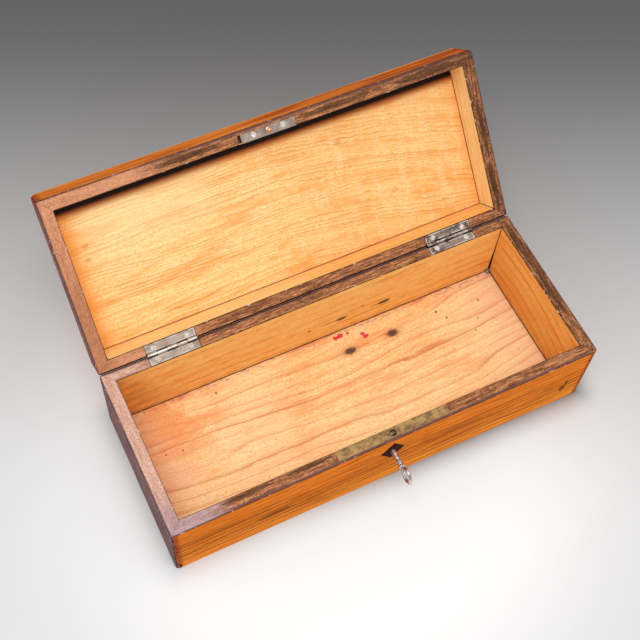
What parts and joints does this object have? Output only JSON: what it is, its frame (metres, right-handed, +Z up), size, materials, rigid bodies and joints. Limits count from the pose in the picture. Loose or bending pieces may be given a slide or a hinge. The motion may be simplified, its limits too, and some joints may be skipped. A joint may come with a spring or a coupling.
{
  "type": "deed box",
  "caption": "Long mitred wooden deed box with a shallow hinged lid propped open, brass butt hinges, a lock in the front rim that grips a lid pin, a dark diamond escutcheon and a pipe key.",
  "frame": {"origin": "centre of the underside, on the surface that the box stands on", "axes": "+X along the box's length, to the right of someone facing the lock; -Y is the front with the keyhole; +Z up"},
  "size_m": [0.38, 0.3021, 0.1864],
  "materials": {
    "board_wood": "old worn varnish",
    "bottom_wood": "bare planed wood",
    "lid_wood": "old worn varnish",
    "lid_top_wood": "varnished outside, bare inside",
    "hinge_brass": "dull and tarnished",
    "screw_brass": "rubbed bright",
    "lock_brass": "mottled old brass",
    "works_brass": "filed",
    "pin_brass": "rubbed bright",
    "fastener_steel": "dull",
    "key_steel": "polished by handling",
    "escutcheon_black": "blackened hardwood"
  },
  "bodies": {
    "box": {"front_board": "board_wood", "back_board": "board_wood", "left_end": "board_wood", "right_end": "board_wood", "bottom_board": "bottom_wood", "bottom_nails": "fastener_steel", "left_hinge_base_leaf": "hinge_brass", "right_hinge_base_leaf": "hinge_brass", "left_hinge_pin": "fastener_steel", "right_hinge_pin": "fastener_steel", "base_hinge_screws": "screw_brass", "escutcheon": "escutcheon_black", "lock_plate": "lock_brass", "lock_cap": "lock_brass", "lock_screws": "fastener_steel", "cap_screws": "fastener_steel", "bolt_stumps": "works_brass", "bolt_spring": "fastener_steel", "drill_pin": "key_steel"},
    "lid": {"lid_front_rail": "lid_wood", "lid_back_rail": "lid_wood", "lid_left_rail": "lid_wood", "lid_right_rail": "lid_wood", "lid_top": "lid_top_wood", "left_hinge_lid_leaf": "hinge_brass", "right_hinge_lid_leaf": "hinge_brass", "lid_hinge_screws": "screw_brass", "lid_plate": "hinge_brass", "lid_plate_screws": "screw_brass", "lid_pin": "pin_brass"},
    "bolt": {"lock_bolt": "works_brass"},
    "key": {"key": "key_steel"}
  },
  "joints": [
    {"name": "lid_hinge", "type": "hinge", "parent": "box", "child": "lid", "pos_m": [0, 0.0738, 0.07615], "axis": [1, 0, 0], "range_deg": [0, 132]},
    {"name": "key_turn", "type": "hinge", "parent": "box", "child": "key", "pos_m": [0, -0.075, 0.055], "axis": [0, 1, 0], "range_deg": [0, 360]},
    {"name": "bolt_slide", "type": "slide", "parent": "box", "child": "bolt", "axis": [1, 0, 0], "range_m": [0, 0.0065]}
  ],
  "couplings": [
    {"joint": "key_turn", "follows": "bolt_slide", "rad_per_m": 966.64}
  ]
}
